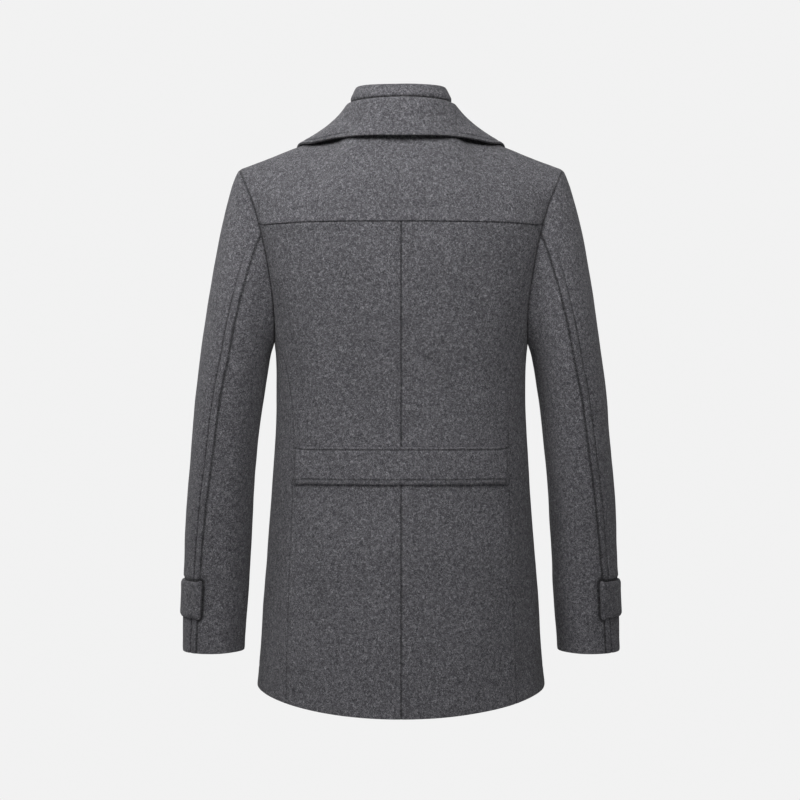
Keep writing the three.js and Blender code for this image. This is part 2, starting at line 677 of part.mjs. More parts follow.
function build() {
  const backLeft = backPanel();
  const yokeSheet = yoke();
  const front = frontPanel();
  const loop = armholeLoop(backLeft, front, yokeSheet);
  const stations = loop.length - 1;
  const topSleeve = sleevePanel(loop, FOREARM_STATION, stations + ELBOW_STATION);
  const underSleeve = sleevePanel(loop, ELBOW_STATION, FOREARM_STATION);
  const shell = {
    yoke: yokeSheet,
    back_left: backLeft,
    back_right: mirrored(backLeft),
    front_left: withLapLifted(front),
    front_right: mirrored(front),
    top_sleeve_left: topSleeve,
    top_sleeve_right: mirrored(topSleeve),
    under_sleeve_left: underSleeve,
    under_sleeve_right: mirrored(underSleeve),
  };
  const tab = cuffTab();
  const onTop = {
    folded_collar: [foldedCollar(), DOUBLE_WALL],
    stand_collar: [standCollar(), DOUBLE_WALL],
    half_belt: [halfBelt(), BELT_WALL],
    cuff_tab_left: [tab, DOUBLE_WALL],
    cuff_tab_right: [mirrored(tab), DOUBLE_WALL],
  };
  const coat = new THREE.Group();
  const normals = sharedNormals(Object.values(shell));
  for (const [name, cloth] of Object.entries(shell)) {
    coat.add(clothMesh(name, clothGeometry(cloth, WALL, normals)));
  }
  for (const [name, [cloth, wall]] of Object.entries(onTop)) {
    coat.add(clothMesh(name, clothGeometry(cloth, wall)));
  }
  coat.add(...frontButtons(), tabButton(1), tabButton(-1));
  return coat;
}

export default build();
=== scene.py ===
"""A winter coat in heathered grey wool, dressed over its CAD frame, in metres."""
import bpy
import bmesh
import math
import numpy as np
from mathutils import Matrix, Vector, noise
from mathutils.bvhtree import BVHTree
from mathutils.kdtree import KDTree


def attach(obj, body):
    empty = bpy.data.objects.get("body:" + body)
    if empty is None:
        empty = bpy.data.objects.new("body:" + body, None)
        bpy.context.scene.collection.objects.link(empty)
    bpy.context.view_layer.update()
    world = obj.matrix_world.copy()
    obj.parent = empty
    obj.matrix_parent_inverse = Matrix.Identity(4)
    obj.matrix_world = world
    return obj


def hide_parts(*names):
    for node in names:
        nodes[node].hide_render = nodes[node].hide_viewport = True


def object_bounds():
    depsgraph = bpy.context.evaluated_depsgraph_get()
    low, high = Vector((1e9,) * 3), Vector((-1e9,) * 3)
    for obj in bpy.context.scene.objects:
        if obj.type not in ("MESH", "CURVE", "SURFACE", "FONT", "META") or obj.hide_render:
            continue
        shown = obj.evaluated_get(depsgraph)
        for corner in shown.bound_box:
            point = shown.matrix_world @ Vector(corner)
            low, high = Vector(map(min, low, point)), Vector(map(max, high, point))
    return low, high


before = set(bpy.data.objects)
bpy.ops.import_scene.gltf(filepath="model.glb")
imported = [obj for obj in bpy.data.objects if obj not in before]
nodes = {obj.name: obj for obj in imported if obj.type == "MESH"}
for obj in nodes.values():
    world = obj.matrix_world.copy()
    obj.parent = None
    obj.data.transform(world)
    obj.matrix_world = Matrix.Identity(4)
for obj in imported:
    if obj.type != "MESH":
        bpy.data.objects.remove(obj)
cad_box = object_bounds()

# Sizes of the cloth, the sewing and the buttons, in metres
WOOL = 0.0024
COLLAR_WOOL = 0.003
BELT_WOOL = 0.0036
FOLD_TOP = 0.0601
FOLD_ACROSS = 0.07
FOLD_BACK = 0.067
EDGE_ROUND = 0.0009
ALLOWANCE = 0.012
LAP_RAISE = 0.0019
LAP_DROP = 0.002
LAP_ENDS = (0.001, 0.014)
LAP_FADE = (0.003, 0.011)
LAP_FOLD = 0.006
STITCH = 0.0036
STITCH_PITCH = 0.0046
THREAD = 0.0008
THREAD_FLATNESS = 0.42
THREAD_RISE = 0.12
NEEDLE = 0.004
ROW_END = 0.004
HOLE_EDGE = 0.0013
FREE_EDGE = 0.0014
ROW_WIDTH = 0.0015
PRESS_HEIGHT = 0.0036
PRESS_DEPTH = 0.001
PRESS_WIDTH = 0.0022
RIM_AWAY = 0.007
RIM_WIDTH = 0.004
TAB_LIFT = 0.002
TAB_LIFTED = 0.014
HEM_DEPTH = 0.027
HEM_RISE = 0.05
SLEEVE_AXIS = 0.258
COAT_MIDDLE = -0.02
SOFT_DEPTH = 0.0011
SOFT_WAVES = 14
FINE_DEPTH = 0.00035
FINE_WAVES = 38
SEAM_WELD = 0.0012
SEAM_SWELL = 0.00035
SEAM_PUCKER = 0.00025
SEAM_DIP = 0.0003
PILLOW_REACH = 0.0055
TAB_PUFF = 0.0014
BELT_PUFF = 0.0012
BAR_LENGTH = 0.0024
BAR_PITCH = 0.0009

# The inset of each pressed or stitched row from its edge, and its depth
ELBOW_ROW = (0.012, 0.0018)
CENTRE_BACK_ROW = (0.0062, 0.0008)
HEM_ROW = (HEM_DEPTH, 0.0006)
FALL_ROW = (0.006, 0.001)
BELT_TOP_ROW = (0.0046, 0.0014)
BELT_BOTTOM_ROW = (0.006, 0.0007)
BELT_END_ROW = (0.004, 0.0008)

# How near a border or a row the faces are split finer, and the least area that is split
BORDER_FINE = 0.009
TAB_FINE = 0.01
STRIP_FINE = 0.012
ELBOW_FINE = 0.0175
ELBOW_FINEST = (0.008, 0.016)
HEM_FINE = (HEM_DEPTH - 0.006, HEM_DEPTH + 0.004)
PRESSING_FINE = 0.016
FALL_FINE = 0.0098
FOLD_FINE = 0.016
FOLD_FINEST = 0.011
SPLIT_AREA = 6e-6
FINEST_AREA = SPLIT_AREA / 4

# A doubled piece's drawn share of its wall, and how a skin is told from its wall's edges
DRAWN_SHARE = 0.85
THIN_WALL = 1.3
THICK_WALL = 1.6
STRIP_CORNER = math.radians(60)

# Camera and studio
CAMERA_AWAY = 2.6
CAMERA_HEIGHT = -0.345
CAMERA_SIDE = 0.0014
PHOTO_WIDTH = 800
METRES_A_PIXEL = 0.00138
SENSOR = 36.0
FLOOR_DROP = 0.62
FLOOR_RADIUS = 2.1

# Colours: ground, dark fibre and pale fibre of the wool and of the thread, dark and pale horn
WOOL_COLOURS = ((0.112, 0.110, 0.121), (0.040, 0.039, 0.045), (0.27, 0.267, 0.285))
THREAD_COLOURS = ((0.085, 0.083, 0.092), (0.05, 0.05, 0.055), (0.16, 0.158, 0.17))
HORN_COLOURS = ((0.012, 0.010, 0.009, 1), (0.045, 0.034, 0.026, 1))

BODY_PANELS = ["yoke", "back_left", "back_right", "front_left", "front_right"]
SLEEVE_PANELS = ["top_sleeve_left", "top_sleeve_right", "under_sleeve_left", "under_sleeve_right"]
PANELS = BODY_PANELS + SLEEVE_PANELS


# Camera, where the photographer stood behind the coat
def stand_camera():
    data = bpy.data.cameras.new("camera")
    data.sensor_width = SENSOR
    data.lens = SENSOR * CAMERA_AWAY / (PHOTO_WIDTH * METRES_A_PIXEL)
    data.clip_end = 60
    camera = bpy.data.objects.new("camera", data)
    camera.location = (CAMERA_SIDE, CAMERA_AWAY, CAMERA_HEIGHT)
    camera.rotation_euler = (math.pi / 2, 0, math.pi)
    bpy.context.scene.collection.objects.link(camera)
    bpy.context.scene.camera = camera


# Cloth skins taken from the frame's solids
def outer_skin(node, shortest, sharpest):
    """The outward side of a cloth solid, as quads where its triangles pair up.
    The wall's narrow edge faces have a side under shortest, or a corner sharper than sharpest."""
    bm = bmesh.new()
    bm.from_mesh(nodes[node].data)
    bmesh.ops.remove_doubles(bm, verts=bm.verts, dist=1e-5)
    skin = {f for f in bm.faces if min(e.calc_length() for e in f.edges) > shortest}
    sides = []
    while skin:
        side = [skin.pop()]
        for face in side:
            for edge in face.edges:
                if edge.calc_face_angle(0) > sharpest:
                    continue
                for other in edge.link_faces:
                    if other in skin:
                        skin.discard(other)
                        side.append(other)
        sides.append(side)
    outside = set(max(sides, key=lambda s: sum(f.calc_area() for f in s)))
    inside = [f for f in bm.faces if f not in outside]
    bmesh.ops.delete(bm, geom=inside, context="FACES")
    bmesh.ops.join_triangles(
        bm, faces=bm.faces, angle_face_threshold=0.9, angle_shape_threshold=1.2
    )
    return bm


def as_mesh(bm, name):
    mesh = bpy.data.meshes.new(name)
    bm.to_mesh(mesh)
    bm.free()
    return mesh


def add_object(name, mesh):
    piece = bpy.data.objects.new(name, mesh)
    bpy.context.scene.collection.objects.link(piece)
    return piece


def through_modifiers(piece):
    """The mesh that the piece's modifiers make, as its own plain mesh."""
    graph = bpy.context.evaluated_depsgraph_get()
    return bpy.data.meshes.new_from_object(
        piece.evaluated_get(graph), preserve_all_data_layers=True, depsgraph=graph
    )


def subdivided(mesh, levels, corners="ALL"):
    """A smooth surface that still goes through the mesh's own points."""
    piece = add_object("shaping", mesh)
    rounded = piece.modifiers.new("round", "SUBSURF")
    rounded.levels = 1
    rounded.render_levels = 1
    rounded.boundary_smooth = corners
    start = [v.co.copy() for v in mesh.vertices]
    for _ in range(2):
        smooth = through_modifiers(piece)
        for vertex, there in zip(mesh.vertices, start):
            vertex.co += there - smooth.vertices[vertex.index].co
        bpy.data.meshes.remove(smooth)
        mesh.update()
        bpy.context.view_layer.update()
    rounded.levels = levels
    rounded.render_levels = levels
    smooth = through_modifiers(piece)
    bpy.data.objects.remove(piece)
    bpy.data.meshes.remove(mesh)
    return smooth


def sewn_coat():
    """Body and sleeve panels joined at their seams, so that the cloth runs smoothly over them."""
    bm = bmesh.new()
    for index, name in enumerate(PANELS):
        skin = outer_skin(name, WOOL * THIN_WALL, math.pi)
        for face in skin.faces:
            face.material_index = index
        mesh = as_mesh(skin, name)
        bm.from_mesh(mesh)
        bpy.data.meshes.remove(mesh)
    bmesh.ops.remove_doubles(bm, verts=bm.verts, dist=SEAM_WELD)
    crease = bm.edges.layers.float.new("crease_edge")
    for edge in bm.edges:
        owners = {PANELS[f.material_index] in SLEEVE_PANELS for f in edge.link_faces}
        if len(owners) == 2:
            edge[crease] = 0.55
    mesh = as_mesh(bm, "sewn_coat")
    for name in PANELS:
        mesh.materials.append(bpy.data.materials.new(name))
    return subdivided(mesh, 3, "PRESERVE_CORNERS")


# Soft creases and swells: from and to in metres, half width in metres, depth in mm, out is positive
CREASES = [
    # back, below the armholes and over the shoulder blades
    ((0.152, 0.075, -0.262), (0.136, 0.092, -0.385), 0.012, -1.5),
    ((-0.154, 0.073, -0.268), (-0.141, 0.088, -0.352), 0.011, -1.2),
    ((0.118, 0.105, -0.235), (0.112, 0.104, -0.345), 0.02, 1.0),
    ((-0.121, 0.103, -0.215), (-0.109, 0.105, -0.318), 0.018, 0.8),
    ((0.062, 0.116, -0.318), (0.081, 0.11, -0.398), 0.016, -0.7),
    ((-0.055, 0.116, -0.336), (-0.07, 0.112, -0.399), 0.014, -0.6),
    # back skirt, flutes that open towards the hem
    ((0.101, 0.113, -0.505), (0.116, 0.131, -0.742), 0.021, 1.6),
    ((-0.108, 0.112, -0.535), (-0.119, 0.13, -0.74), 0.019, 1.3),
    ((0.058, 0.122, -0.56), (0.064, 0.146, -0.75), 0.017, -1.0),
    ((-0.066, 0.12, -0.52), (-0.061, 0.146, -0.742), 0.018, -1.2),
    ((0.162, 0.058, -0.49), (0.173, 0.064, -0.735), 0.02, -1.9),
    ((-0.16, 0.064, -0.53), (-0.172, 0.07, -0.728), 0.018, -1.6),
    # front, from the armholes towards the buttons, and the front skirt
    ((0.158, -0.085, -0.232), (0.104, -0.118, -0.318), 0.013, -1.6),
    ((-0.157, -0.088, -0.24), (-0.117, -0.112, -0.302), 0.012, -1.3),
    ((0.128, -0.105, -0.36), (0.121, -0.11, -0.455), 0.016, -1.2),
    ((-0.13, -0.103, -0.34), (-0.119, -0.112, -0.43), 0.017, -1.4),
    ((0.108, -0.116, -0.498), (0.119, -0.132, -0.735), 0.022, 1.8),
    ((-0.102, -0.119, -0.53), (-0.116, -0.132, -0.73), 0.019, 1.5),
    ((0.066, -0.13, -0.55), (0.07, -0.145, -0.738), 0.017, -1.1),
    ((-0.07, -0.129, -0.51), (-0.066, -0.144, -0.733), 0.018, -1.3),
    ((0.165, -0.062, -0.47), (0.174, -0.07, -0.728), 0.02, -1.8),
    ((-0.166, -0.056, -0.5), (-0.175, -0.068, -0.733), 0.019, -1.5),
    # sleeves, below the cap, at the crook of the elbow and above the cuff
    ((0.214, 0.05, -0.215), (0.222, 0.056, -0.312), 0.012, -1.1),
    ((-0.213, 0.052, -0.225), (-0.224, 0.056, -0.298), 0.011, -0.9),
    ((0.236, -0.066, -0.372), (0.279, -0.05, -0.352), 0.009, -2.0),
    ((-0.238, -0.067, -0.381), (-0.276, -0.052, -0.358), 0.009, -1.7),
    ((0.228, -0.064, -0.412), (0.272, -0.06, -0.398), 0.008, -1.6),
    ((-0.232, -0.065, -0.425), (-0.279, -0.054, -0.401), 0.01, -2.1),
    ((0.231, 0.056, -0.405), (0.27, 0.05, -0.392), 0.012, -0.7),
    ((-0.229, 0.055, -0.431), (-0.263, 0.051, -0.414), 0.011, -0.6),
    ((0.276, 0.02, -0.47), (0.285, 0.005, -0.57), 0.013, -0.8),
    ((-0.278, 0.018, -0.49), (-0.286, 0.002, -0.56), 0.012, -0.7),
    ((0.235, -0.07, -0.545), (0.262, -0.073, -0.532), 0.009, -1.2),
    ((-0.238, -0.07, -0.558), (-0.268, -0.071, -0.549), 0.01, -1.3),
]


def shape_cloth(mesh, creases):
    """Moves the cloth's points along their normals by its creases and its soft unevenness."""
    count = len(mesh.vertices)
    places = np.empty(count * 3)
    normals = np.empty(count * 3)
    mesh.vertices.foreach_get("co", places)
    mesh.vertex_normals.foreach_get("vector", normals)
    places = places.reshape(-1, 3)
    normals = normals.reshape(-1, 3)
    move = np.zeros(count)
    for start, end, half_width, depth in creases:
        a = np.array(start)
        along = np.array(end) - a
        share = ((places - a) @ along) / (along @ along)
        held = np.clip(share, 0, 1)
        away = np.linalg.norm(places - (a + held[:, None] * along), axis=1)
        taper = np.clip(np.sin(np.pi * np.clip(share, 0.02, 0.98)), 0, 1) ** 0.6
        move += 0.001 * depth * taper * np.exp(-((away / half_width) ** 2))
    soft = [noise.noise(Vector(p) * SOFT_WAVES) for p in places]
    fine = [noise.noise(Vector(p) * FINE_WAVES + Vector((7, 3, 1))) for p in places]
    move += SOFT_DEPTH * np.array(soft) + FINE_DEPTH * np.array(fine)
    places = places + normals * move[:, None]
    mesh.vertices.foreach_set("co", places.ravel())
    mesh.update()


def cut_panel(coat, index):
    """One panel of the sewn coat, cut out along its seams. It keeps the whole coat's normals."""
    bm = bmesh.new()
    bm.from_mesh(coat)
    keep_normals(bm)
    others = [f for f in bm.faces if f.material_index != index]
    bmesh.ops.delete(bm, geom=others, context="FACES")
    for face in bm.faces:
        face.material_index = 0
    refined(bm, border_edges(bm), BORDER_FINE)
    return bm


def refined(bm, lines, reach, smallest=0.0, start=0.0):
    """Splits the faces from start to reach away from the lines, for seams and rows that are
    finer than the sheet's own points. Faces with less area than smallest stay as they are."""
    far = np.array(distances([v.co for v in bm.verts], lines))
    near = (far >= start) & (far < reach)
    bm.verts.index_update()
    faces = [
        f for f in bm.faces if all(near[v.index] for v in f.verts) and f.calc_area() > smallest
    ]
    edges = list({e for f in faces for e in f.edges})
    bmesh.ops.subdivide_edges(bm, edges=edges, cuts=1, use_grid_fill=True)
    bm.verts.index_update()


def border_edges(bm):
    return [[v.co.copy() for v in e.verts] for e in bm.edges if e.is_boundary]


def keep_normals(bm):
    outward = bm.verts.layers.float_vector.new("outward")
    bm.normal_update()
    for vertex in bm.verts:
        vertex[outward] = vertex.normal


def key_of(point):
    return tuple(round(c * 50000) for c in point)


def border_keys(bm):
    return {key_of(v.co) for v in bm.verts if v.is_boundary}


def border_lines(bm, wanted):
    """Ordered points of each stretch of border whose edges satisfy wanted(a, b)."""
    links = {}
    places = {}
    for edge in bm.edges:
        if edge.is_boundary and wanted(edge.verts[0].co, edge.verts[1].co):
            a, b = edge.verts
            links.setdefault(a.index, []).append(b.index)
            links.setdefault(b.index, []).append(a.index)
            places[a.index] = a.co.copy()
            places[b.index] = b.co.copy()
    lines = []
    left = set(links)
    while left:
        ends = [i for i in left if len(links[i]) == 1] or list(left)
        at = min(ends)
        line = []
        while at is not None:
            line.append(places[at])
            left.discard(at)
            at = next((n for n in links[at] if n in left), None)
        if len(line) > 3:
            lines.append(line)
    return lines


def spaced(line, pitch):
    """Points along a line at an even pitch, each with its direction."""
    steps = []
    travelled = 0
    due = pitch * 0.5
    for a, b in zip(line, line[1:]):
        length = (b - a).length
        while length > 0 and due <= travelled + length:
            share = (due - travelled) / length
            steps.append((a.lerp(b, share), (b - a).normalized()))
            due += pitch
        travelled += length
    return steps


def evened(line, rounds=6):
    """The line with its small steps smoothed out, its ends kept."""
    points = [p.copy() for p in line]
    for _ in range(rounds):
        middle = [(a + b * 2 + c) / 4 for a, b, c in zip(points, points[1:], points[2:])]
        points = [points[0]] + middle + [points[-1]]
    return points


def distances(points, lines):
    """How far each point is from the nearest of the lines."""
    dots = [p for line in lines for p, _ in spaced(line, 0.0008)]
    tree = KDTree(len(dots))
    for index, dot in enumerate(dots):
        tree.insert(dot, index)
    tree.balance()
    return [tree.find(p)[2] for p in points]


def smoothstep(low, high, value):
    share = min(max((value - low) / (high - low), 0), 1)
    return share * share * (3 - 2 * share)


# Sewing
thread_rows = {}


def sew_row(bm, tree, line, inset, owner):
    """A row of stitches at a distance inside a seam or edge, kept for its piece.
    tree holds the sheet before its rows were pressed in, bm the one that the thread lies on."""
    pressed = BVHTree.FromBMesh(bm)
    steps = [
        (place, direction) for place, direction in spaced(evened(line), STITCH_PITCH)
        if min((place - line[0]).length, (place - line[-1]).length) > ROW_END
    ]
    best = None
    for side in (1, -1):
        row = []
        miss = 0
        for place, direction in steps:
            across = tree.find_nearest(place)[1].cross(direction) * side
            reach = inset
            for _ in range(3):
                landed, facing, _, gap = tree.find_nearest(place + across * reach)
                reach *= inset / max((landed - place).length, inset / 2)
            miss += gap
            row.append((landed, direction, facing))
        if best is None or miss < best[0]:
            best = (miss, row)
    fars = distances([place for place, _, _ in best[1]], [line])
    for (place, direction, facing), far in zip(best[1], fars):
        landed, normal, _, _ = pressed.ray_cast(place + facing * NEEDLE, -facing, NEEDLE * 2)
        if landed is not None and far > inset * 0.9:
            thread_rows.setdefault(owner, []).append((landed, direction, normal))


def stitches(name, row, length=STITCH, width=THREAD):
    """Every stitch on one piece, as one mesh of small rounded bars."""
    bm = bmesh.new()
    upright = Matrix.Rotation(math.pi / 2, 4, "Y")
    for place, direction, normal in row:
        across = normal.cross(direction).normalized()
        ahead = across.cross(normal).normalized()
        turn = Matrix((ahead, across, normal)).transposed().to_4x4()
        size = Matrix.Diagonal((length / 2, width / 2, width * THREAD_FLATNESS, 1))
        seat = Matrix.Translation(place + normal * width * THREAD_RISE)
        bar = seat @ turn @ size @ upright
        bmesh.ops.create_uvsphere(bm, u_segments=6, v_segments=4, radius=1, matrix=bar)
    for face in bm.faces:
        face.smooth = True
    piece = add_object(name, as_mesh(bm, name))
    piece.data.materials.append(thread)
    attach(piece, "root")


# Finishes
def group_socket(tree, name, kind, way, value=None):
    socket = tree.interface.new_socket(name=name, in_out=way, socket_type=kind)
    if value is not None:
        socket.default_value = value
    return socket


def feed(tree, socket, value):
    """Links an output to a socket, or sets the socket to a plain value."""
    if hasattr(value, "is_linked"):
        tree.links.new(value, socket)
    else:
        socket.default_value = value


def math_node(tree, operation, *values):
    node = tree.nodes.new("ShaderNodeMath")
    node.operation = operation
    for socket, value in zip(node.inputs, values):
        feed(tree, socket, value)
    return node.outputs[0]


def scaled_colour(tree, colour, factor):
    node = tree.nodes.new("ShaderNodeVectorMath")
    node.operation = "SCALE"
    tree.links.new(colour, node.inputs[0])
    tree.links.new(factor, node.inputs["Scale"])
    return node.outputs[0]


def ranged(tree, value, low, high, to_low, to_high):
    node = tree.nodes.new("ShaderNodeMapRange")
    node.interpolation_type = "SMOOTHSTEP"
    tree.links.new(value, node.inputs["Value"])
    node.inputs["From Min"].default_value = low
    node.inputs["From Max"].default_value = high
    node.inputs["To Min"].default_value = to_low
    node.inputs["To Max"].default_value = to_high
    return node.outputs["Result"]


def noise_node(tree, place, scale, detail, roughness, distortion=0):
    node = tree.nodes.new("ShaderNodeTexNoise")
    tree.links.new(place, node.inputs["Vector"])
    node.inputs["Scale"].default_value = scale
    node.inputs["Detail"].default_value = detail
    node.inputs["Roughness"].default_value = roughness
    node.inputs["Distortion"].default_value = distortion
    return node.outputs["Fac"]


# A mix node's inputs for colours: factor, first and second
COLOUR_MIX_INPUTS = (0, 6, 7)


def blended(tree, share, first, second):
    node = tree.nodes.new("ShaderNodeMix")
    node.data_type = "RGBA"
    for number, value in zip(COLOUR_MIX_INPUTS, (share, first, second)):
        feed(tree, node.inputs[number], value)
    return node.outputs[2]


def heather_group():
    """Short dark and pale fibres felted into a mid ground, with the nap's small relief."""
    tree = bpy.data.node_groups.new("heathered_fibres", "ShaderNodeTree")
    group_socket(tree, "Place", "NodeSocketVector", "INPUT")
    group_socket(tree, "Ground", "NodeSocketColor", "INPUT", (0.1, 0.1, 0.1, 1))
    group_socket(tree, "Dark Fibre", "NodeSocketColor", "INPUT", (0.05, 0.05, 0.05, 1))
    group_socket(tree, "Pale Fibre", "NodeSocketColor", "INPUT", (0.2, 0.2, 0.2, 1))
    group_socket(tree, "Fibre Share", "NodeSocketFloat", "INPUT", 0.6)
    group_socket(tree, "Color", "NodeSocketColor", "OUTPUT")
    group_socket(tree, "Nap", "NodeSocketFloat", "OUTPUT")
    entry = tree.nodes.new("NodeGroupInput")
    leave = tree.nodes.new("NodeGroupOutput")
    place = entry.outputs["Place"]
    share = entry.outputs["Fibre Share"]
    clump = noise_node(tree, place, 210, 3, 0.6, 0.4)
    curl = noise_node(tree, place, 430, 2, 0.6, 1.6)
    fleck = noise_node(tree, place, 900, 2, 0.7)
    cloud = noise_node(tree, place, 22, 2, 0.5)
    dark = math_node(tree, "MULTIPLY", ranged(tree, curl, 0.5, 0.38, 0, 1), share)
    pale = math_node(tree, "MULTIPLY", ranged(tree, curl, 0.52, 0.64, 0, 1), share)
    ground = blended(tree, dark, entry.outputs["Ground"], entry.outputs["Dark Fibre"])
    ground = blended(tree, pale, ground, entry.outputs["Pale Fibre"])
    clumps = ranged(tree, clump, 0.34, 0.66, 0.8, 1.2)
    flecks = ranged(tree, fleck, 0.34, 0.66, 0.75, 1.28)
    clouds = ranged(tree, cloud, 0.3, 0.7, 0.965, 1.035)
    tone = math_node(tree, "MULTIPLY", math_node(tree, "MULTIPLY", clumps, flecks), clouds)
    tree.links.new(scaled_colour(tree, ground, tone), leave.inputs["Color"])
    curled = math_node(tree, "MULTIPLY", curl, 0.6)
    nap = math_node(tree, "ADD", curled, math_node(tree, "MULTIPLY", fleck, 0.4))
    tree.links.new(nap, leave.inputs["Nap"])
    return tree


def new_material(name):
    material = bpy.data.materials.new(name)
    material.use_nodes = True
    tree = material.node_tree
    shader = next(n for n in tree.nodes if n.type == "BSDF_PRINCIPLED")
    place = tree.nodes.new("ShaderNodeTexCoord").outputs["Object"]
    return material, tree, shader, place


def heathered(tree, group, place, ground, dark, pale, share):
    node = tree.nodes.new("ShaderNodeGroup")
    node.node_tree = group
    tree.links.new(place, node.inputs["Place"])
    node.inputs["Ground"].default_value = (*ground, 1)
    node.inputs["Dark Fibre"].default_value = (*dark, 1)
    node.inputs["Pale Fibre"].default_value = (*pale, 1)
    node.inputs["Fibre Share"].default_value = share
    return node


def piece_value(tree, name):
    node = tree.nodes.new("ShaderNodeAttribute")
    node.attribute_name = name
    return node.outputs["Fac"]


def bumped(tree, shader, height, strength, distance):
    node = tree.nodes.new("ShaderNodeBump")
    node.inputs["Strength"].default_value = strength
    node.inputs["Distance"].default_value = distance
    tree.links.new(height, node.inputs["Height"])
    tree.links.new(node.outputs["Normal"], shader.inputs["Normal"])


def melton_wool(group):
    material, tree, shader, place = new_material("melton_wool")
    fibres = heathered(tree, group, place, *WOOL_COLOURS, 0.75)
    edge = piece_value(tree, "seam_shade_distance")
    row = math_node(tree, "ABSOLUTE", piece_value(tree, "row_offset"))
    # painted shade: the colour darkens towards seams, free edges and the edges of pieces that press
    # on this one, standing in for their shadow
    pressed = ranged(tree, edge, 0, 0.0026, 0.36, 1)
    # painted shade in the stitched rows' grooves, on top of their bump
    painted_row_shade = ranged(tree, row, 0.0002, 0.002, 0.55, 1)
    shade = math_node(tree, "MULTIPLY", pressed, painted_row_shade)
    colour = scaled_colour(tree, fibres.outputs["Color"], shade)
    tree.links.new(colour, shader.inputs["Base Color"])
    groove = ranged(tree, row, 0, 0.0017, -1.1, 0)
    height = math_node(tree, "ADD", groove, math_node(tree, "MULTIPLY", fibres.outputs["Nap"], 0.7))
    bumped(tree, shader, height, 0.6, 0.0006)
    shader.inputs["Roughness"].default_value = 0.93
    shader.inputs["Specular IOR Level"].default_value = 0.2
    shader.inputs["Sheen Weight"].default_value = 0.08
    shader.inputs["Sheen Roughness"].default_value = 0.6
    return material


def sewing_thread(group):
    material, tree, shader, place = new_material("sewing_thread")
    fibres = heathered(tree, group, place, *THREAD_COLOURS, 0.5)
    tree.links.new(fibres.outputs["Color"], shader.inputs["Base Color"])
    bumped(tree, shader, fibres.outputs["Nap"], 0.3, 0.0002)
    shader.inputs["Roughness"].default_value = 0.7
    return material


def dark_horn():
    material, tree, shader, place = new_material("dark_horn")
    swirl = noise_node(tree, place, 90, 4, 0.6, 3)
    colour = blended(tree, ranged(tree, swirl, 0.4, 0.68, 0, 1), *HORN_COLOURS)
    tree.links.new(colour, shader.inputs["Base Color"])
    scuffs = noise_node(tree, place, 700, 3, 0.6)
    tree.links.new(ranged(tree, scuffs, 0.3, 0.7, 0.3, 0.46), shader.inputs["Roughness"])
    bumped(tree, shader, scuffs, 0.15, 0.0002)
    return material


def pale_floor():
    """A pale floor whose far edge fades into the studio's backdrop."""
    material, tree, shader, place = new_material("pale_floor")
    grain = noise_node(tree, place, 3, 2, 0.5)
    colour = blended(tree, grain, (0.86, 0.86, 0.865, 1), (0.9, 0.9, 0.905, 1))
    tree.links.new(colour, shader.inputs["Base Color"])
    shader.inputs["Roughness"].default_value = 0.8
    level = tree.nodes.new("ShaderNodeVectorMath")
    level.operation = "MULTIPLY"
    tree.links.new(place, level.inputs[0])
    level.inputs[1].default_value = (1, 1, 0)
    away = tree.nodes.new("ShaderNodeVectorMath")
    away.operation = "LENGTH"
    tree.links.new(level.outputs[0], away.inputs[0])
    fade = ranged(tree, away.outputs["Value"], 0.9, FLOOR_RADIUS, 1, 0)
    tree.links.new(fade, shader.inputs["Alpha"])
    return material


fibre_group = heather_group()
wool = melton_wool(fibre_group)
thread = sewing_thread(fibre_group)
horn = dark_horn()


# Making up each cloth piece
def edge_lines(name, bm):
    """The border's edges by how much softer than a deep seam each is, in metres, both in its dip
    and in its painted seam shade.
    """
    groups = {}
    for edge in bm.edges:
        if edge.is_boundary:
            ends = {key_of(v.co) for v in edge.verts}
            others = [other for other in keys if other != name and ends <= keys[other]]
            softness = seam_softness(name, others[0]) if others else FREE_EDGE
            groups.setdefault(softness, []).append([v.co.copy() for v in edge.verts])
    return groups


# How much softer than a deep seam the seam between two kinds of panel is, in its dip and in its
# painted shade; under 0 is deeper and darker
SOFTNESS = {("back",): 0.0001, ("back", "front"): 0.0008, ("top", "under"): -0.0004}


def seam_softness(name, other):
    kinds = tuple(sorted({name.split("_")[0], other.split("_")[0]}))
    # the yoke's lapped edge gets the free edge's light painted shade, the back panel below it the
    # darker painted shadow
    if name == "yoke" and "back" in kinds:
        return FREE_EDGE
    return SOFTNESS.get(kinds, 0)


def near_edge(points, groups):
    """How far each point is from the border, a soft edge counting as further away."""
    nearest = np.full(len(points), 1.0)
    for softness, lines in groups.items():
        nearest = np.minimum(nearest, np.array(distances(points, lines)) + softness)
    return nearest


def lap_over(bm, seam, ends):
    """Raises the edge along a seam, so that it lies over the piece below it."""
    outward = bm.verts.layers.float_vector["outward"]
    points = [v.co.copy() for v in bm.verts]
    for vertex, far, end in zip(bm.verts, distances(points, seam), distances(points, ends)):
        if far < ALLOWANCE:
            lift = smoothstep(*LAP_ENDS, end) * (1 - smoothstep(*LAP_FADE, far))
            normal = vertex[outward]
            down = Vector((0, 0, -1))
            down = (down - normal * down.dot(normal)).normalized()
            slide = LAP_DROP * (1 - smoothstep(0, LAP_FOLD, far))
            vertex.co += (normal * LAP_RAISE + down * slide) * lift


